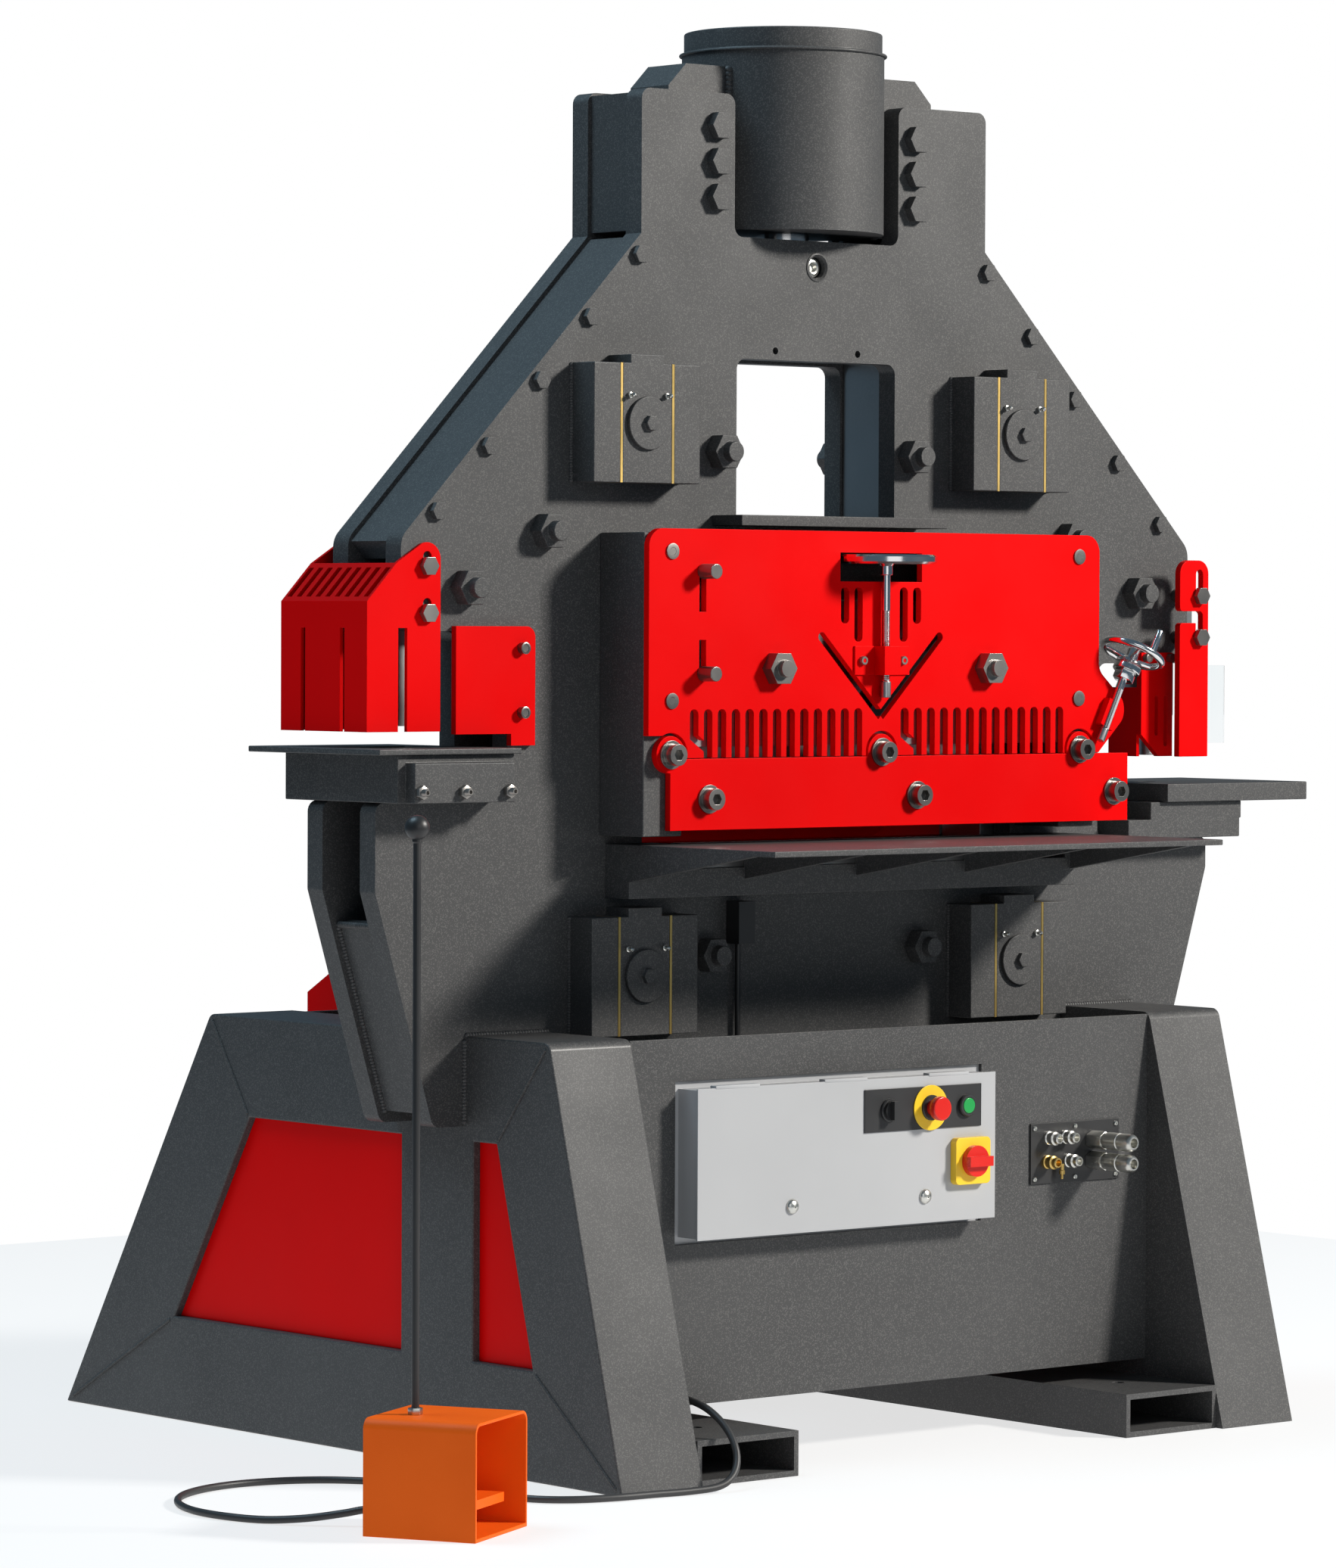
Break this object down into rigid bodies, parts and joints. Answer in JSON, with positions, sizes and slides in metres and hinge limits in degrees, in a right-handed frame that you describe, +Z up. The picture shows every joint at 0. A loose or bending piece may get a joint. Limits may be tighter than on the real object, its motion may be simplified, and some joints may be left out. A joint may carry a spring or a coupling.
{
  "type": "ironworker machine",
  "caption": "Hydraulic ironworker with a notcher, angle and flat-bar shears, an open press window and a hole punch on one ram beam, on a welded base with a foot switch.",
  "frame": {"origin": "on the floor, at the middle of the four anchor holes in the base", "axes": "+Z up; the stations face -Y; +X runs from the notcher to the punch"},
  "size_m": [2.1118, 1.4864, 1.9983],
  "materials": {
    "charcoal_paint": "fine textured charcoal paint with a faint metallic fleck",
    "guard_red": "smooth gloss red powder coat",
    "black_oxide_steel": "black oxide, slightly oily",
    "bolt_steel": "bare steel, slightly oily",
    "tool_steel": "ground tool steel",
    "chrome_steel": "bright plated",
    "zinc_steel": "zinc plated",
    "guide_bronze": "machined bronze",
    "clear_plastic": "clear polycarbonate",
    "enclosure_grey": "smooth light grey paint",
    "black_plastic": "moulded, fine grain",
    "stop_red": "moulded, glossy",
    "start_green": "moulded, glossy",
    "switch_yellow": "moulded, glossy",
    "pedal_orange": "coarse textured orange paint",
    "cable_rubber": "smooth black jacket"
  },
  "bodies": {
    "frame": {"front_frame_plate": "charcoal_paint", "rear_frame_plate": "charcoal_paint", "frame_spacers": "charcoal_paint", "cylinder_barrel": "charcoal_paint", "cylinder_cap": "charcoal_paint", "guide_gibs": "charcoal_paint", "shear_housing": "charcoal_paint", "side_tables": "charcoal_paint", "shear_table": "charcoal_paint", "tool_table": "charcoal_paint", "left_base_frame": "charcoal_paint", "right_base_frame": "charcoal_paint", "front_panel": "charcoal_paint", "rear_panel": "charcoal_paint", "fork_tubes": "charcoal_paint", "frame_bolts": "charcoal_paint", "tie_rods": "charcoal_paint", "die_blocks": "charcoal_paint", "angle_guard": "guard_red", "flat_guard": "guard_red", "hold_down_brackets": "guard_red", "side_guards": "guard_red", "base_panels": "guard_red", "drop_chute": "guard_red", "power_unit": "black_oxide_steel", "guard_fasteners": "bolt_steel", "side_guard_bolts": "bolt_steel", "lower_blades": "tool_steel", "hold_down_bar": "tool_steel", "hydraulic_ports": "zinc_steel", "bronze_strips": "guide_bronze", "electrical_box": "enclosure_grey", "control_plates": "black_plastic", "limit_switch": "black_plastic", "cable_glands": "black_plastic", "pedal_pole": "black_plastic", "disconnect_base": "switch_yellow", "pedal_guard": "pedal_orange", "foot_cable": "cable_rubber"},
    "ram": {"piston_rod": "chrome_steel", "ram_beam": "tool_steel", "beam_pins": "charcoal_paint", "upper_blades": "tool_steel", "notch_punch": "tool_steel", "hole_punch": "tool_steel", "guide_slides": "charcoal_paint"},
    "angle_pad": {"angle_hold_pad": "tool_steel"},
    "angle_screw": {"angle_hold_screw": "chrome_steel"},
    "bar_pad": {"bar_hold_pad": "tool_steel"},
    "bar_screw": {"bar_hold_screw": "chrome_steel"},
    "upper_stop": {"upper_stop_pin": "bolt_steel"},
    "lower_stop": {"lower_stop_pin": "bolt_steel"},
    "notcher_guard": {"notch_guard": "guard_red"},
    "punch_shield": {"punch_guard": "guard_red", "clear_shield": "clear_plastic"},
    "estop": {"estop_button": "stop_red"},
    "start": {"start_button": "start_green"},
    "selector": {"selector_knob": "black_plastic"},
    "disconnect": {"disconnect_handle": "stop_red"},
    "treadle": {"pedal_treadle": "pedal_orange"}
  },
  "joints": [
    {"name": "ram_stroke", "type": "slide", "parent": "frame", "child": "ram", "axis": [0, 0, -1], "range_m": [0, 0.045]},
    {"name": "angle_pad_slide", "type": "slide", "parent": "frame", "child": "angle_pad", "axis": [0, 0, -1], "range_m": [0, 0.02]},
    {"name": "angle_screw_turn", "type": "hinge", "parent": "angle_pad", "child": "angle_screw", "pos_m": [0.0305, -0.422, 1.1], "axis": [0, 0, -1], "range_deg": [0, 1440]},
    {"name": "bar_pad_slide", "type": "slide", "parent": "frame", "child": "bar_pad", "axis": [0.454, 0, 0.891], "range_m": [0, 0.02]},
    {"name": "bar_screw_turn", "type": "hinge", "parent": "bar_pad", "child": "bar_screw", "pos_m": [0.4615, -0.422, 1.005], "axis": [0.454, 0, 0.891], "range_deg": [0, 1440]},
    {"name": "upper_stop_slide", "type": "slide", "parent": "frame", "child": "upper_stop", "axis": [0, 0, -1], "range_m": [0, 0.0495]},
    {"name": "lower_stop_slide", "type": "slide", "parent": "frame", "child": "lower_stop", "axis": [0, 0, 1], "range_m": [0, 0.0405]},
    {"name": "notcher_guard_slide", "type": "slide", "parent": "frame", "child": "notcher_guard", "axis": [0, 0, -1], "range_m": [0, 0.012]},
    {"name": "punch_shield_slide", "type": "slide", "parent": "frame", "child": "punch_shield", "axis": [0, 0, -1], "range_m": [0, 0.03]},
    {"name": "estop_press", "type": "slide", "parent": "frame", "child": "estop", "axis": [0, 1, 0], "range_m": [0, 0.004], "stiffness_N_per_m": 1500, "springref_m": -0.002},
    {"name": "start_press", "type": "slide", "parent": "frame", "child": "start", "axis": [0, 1, 0], "range_m": [0, 0.003], "stiffness_N_per_m": 1200, "springref_m": -0.002},
    {"name": "selector_turn", "type": "hinge", "parent": "frame", "child": "selector", "pos_m": [-0.052, -0.53, 0.478], "axis": [0, 1, 0], "range_deg": [-45, 45]},
    {"name": "disconnect_turn", "type": "hinge", "parent": "frame", "child": "disconnect", "pos_m": [0.099, -0.54, 0.4], "axis": [0, 1, 0], "range_deg": [0, 90]},
    {"name": "treadle_press", "type": "hinge", "parent": "frame", "child": "treadle", "pos_m": [-1.02147, -0.68985, 0.04], "axis": [0.8829, 0.4695, 0], "range_deg": [0, 8], "stiffness_Nm_per_rad": 20, "springref_deg": -5.73}
  ],
  "couplings": [
    {"joint": "angle_pad_slide", "follows": "angle_screw_turn", "m_per_rad": 0.000795},
    {"joint": "bar_pad_slide", "follows": "bar_screw_turn", "m_per_rad": 0.000795}
  ]
}
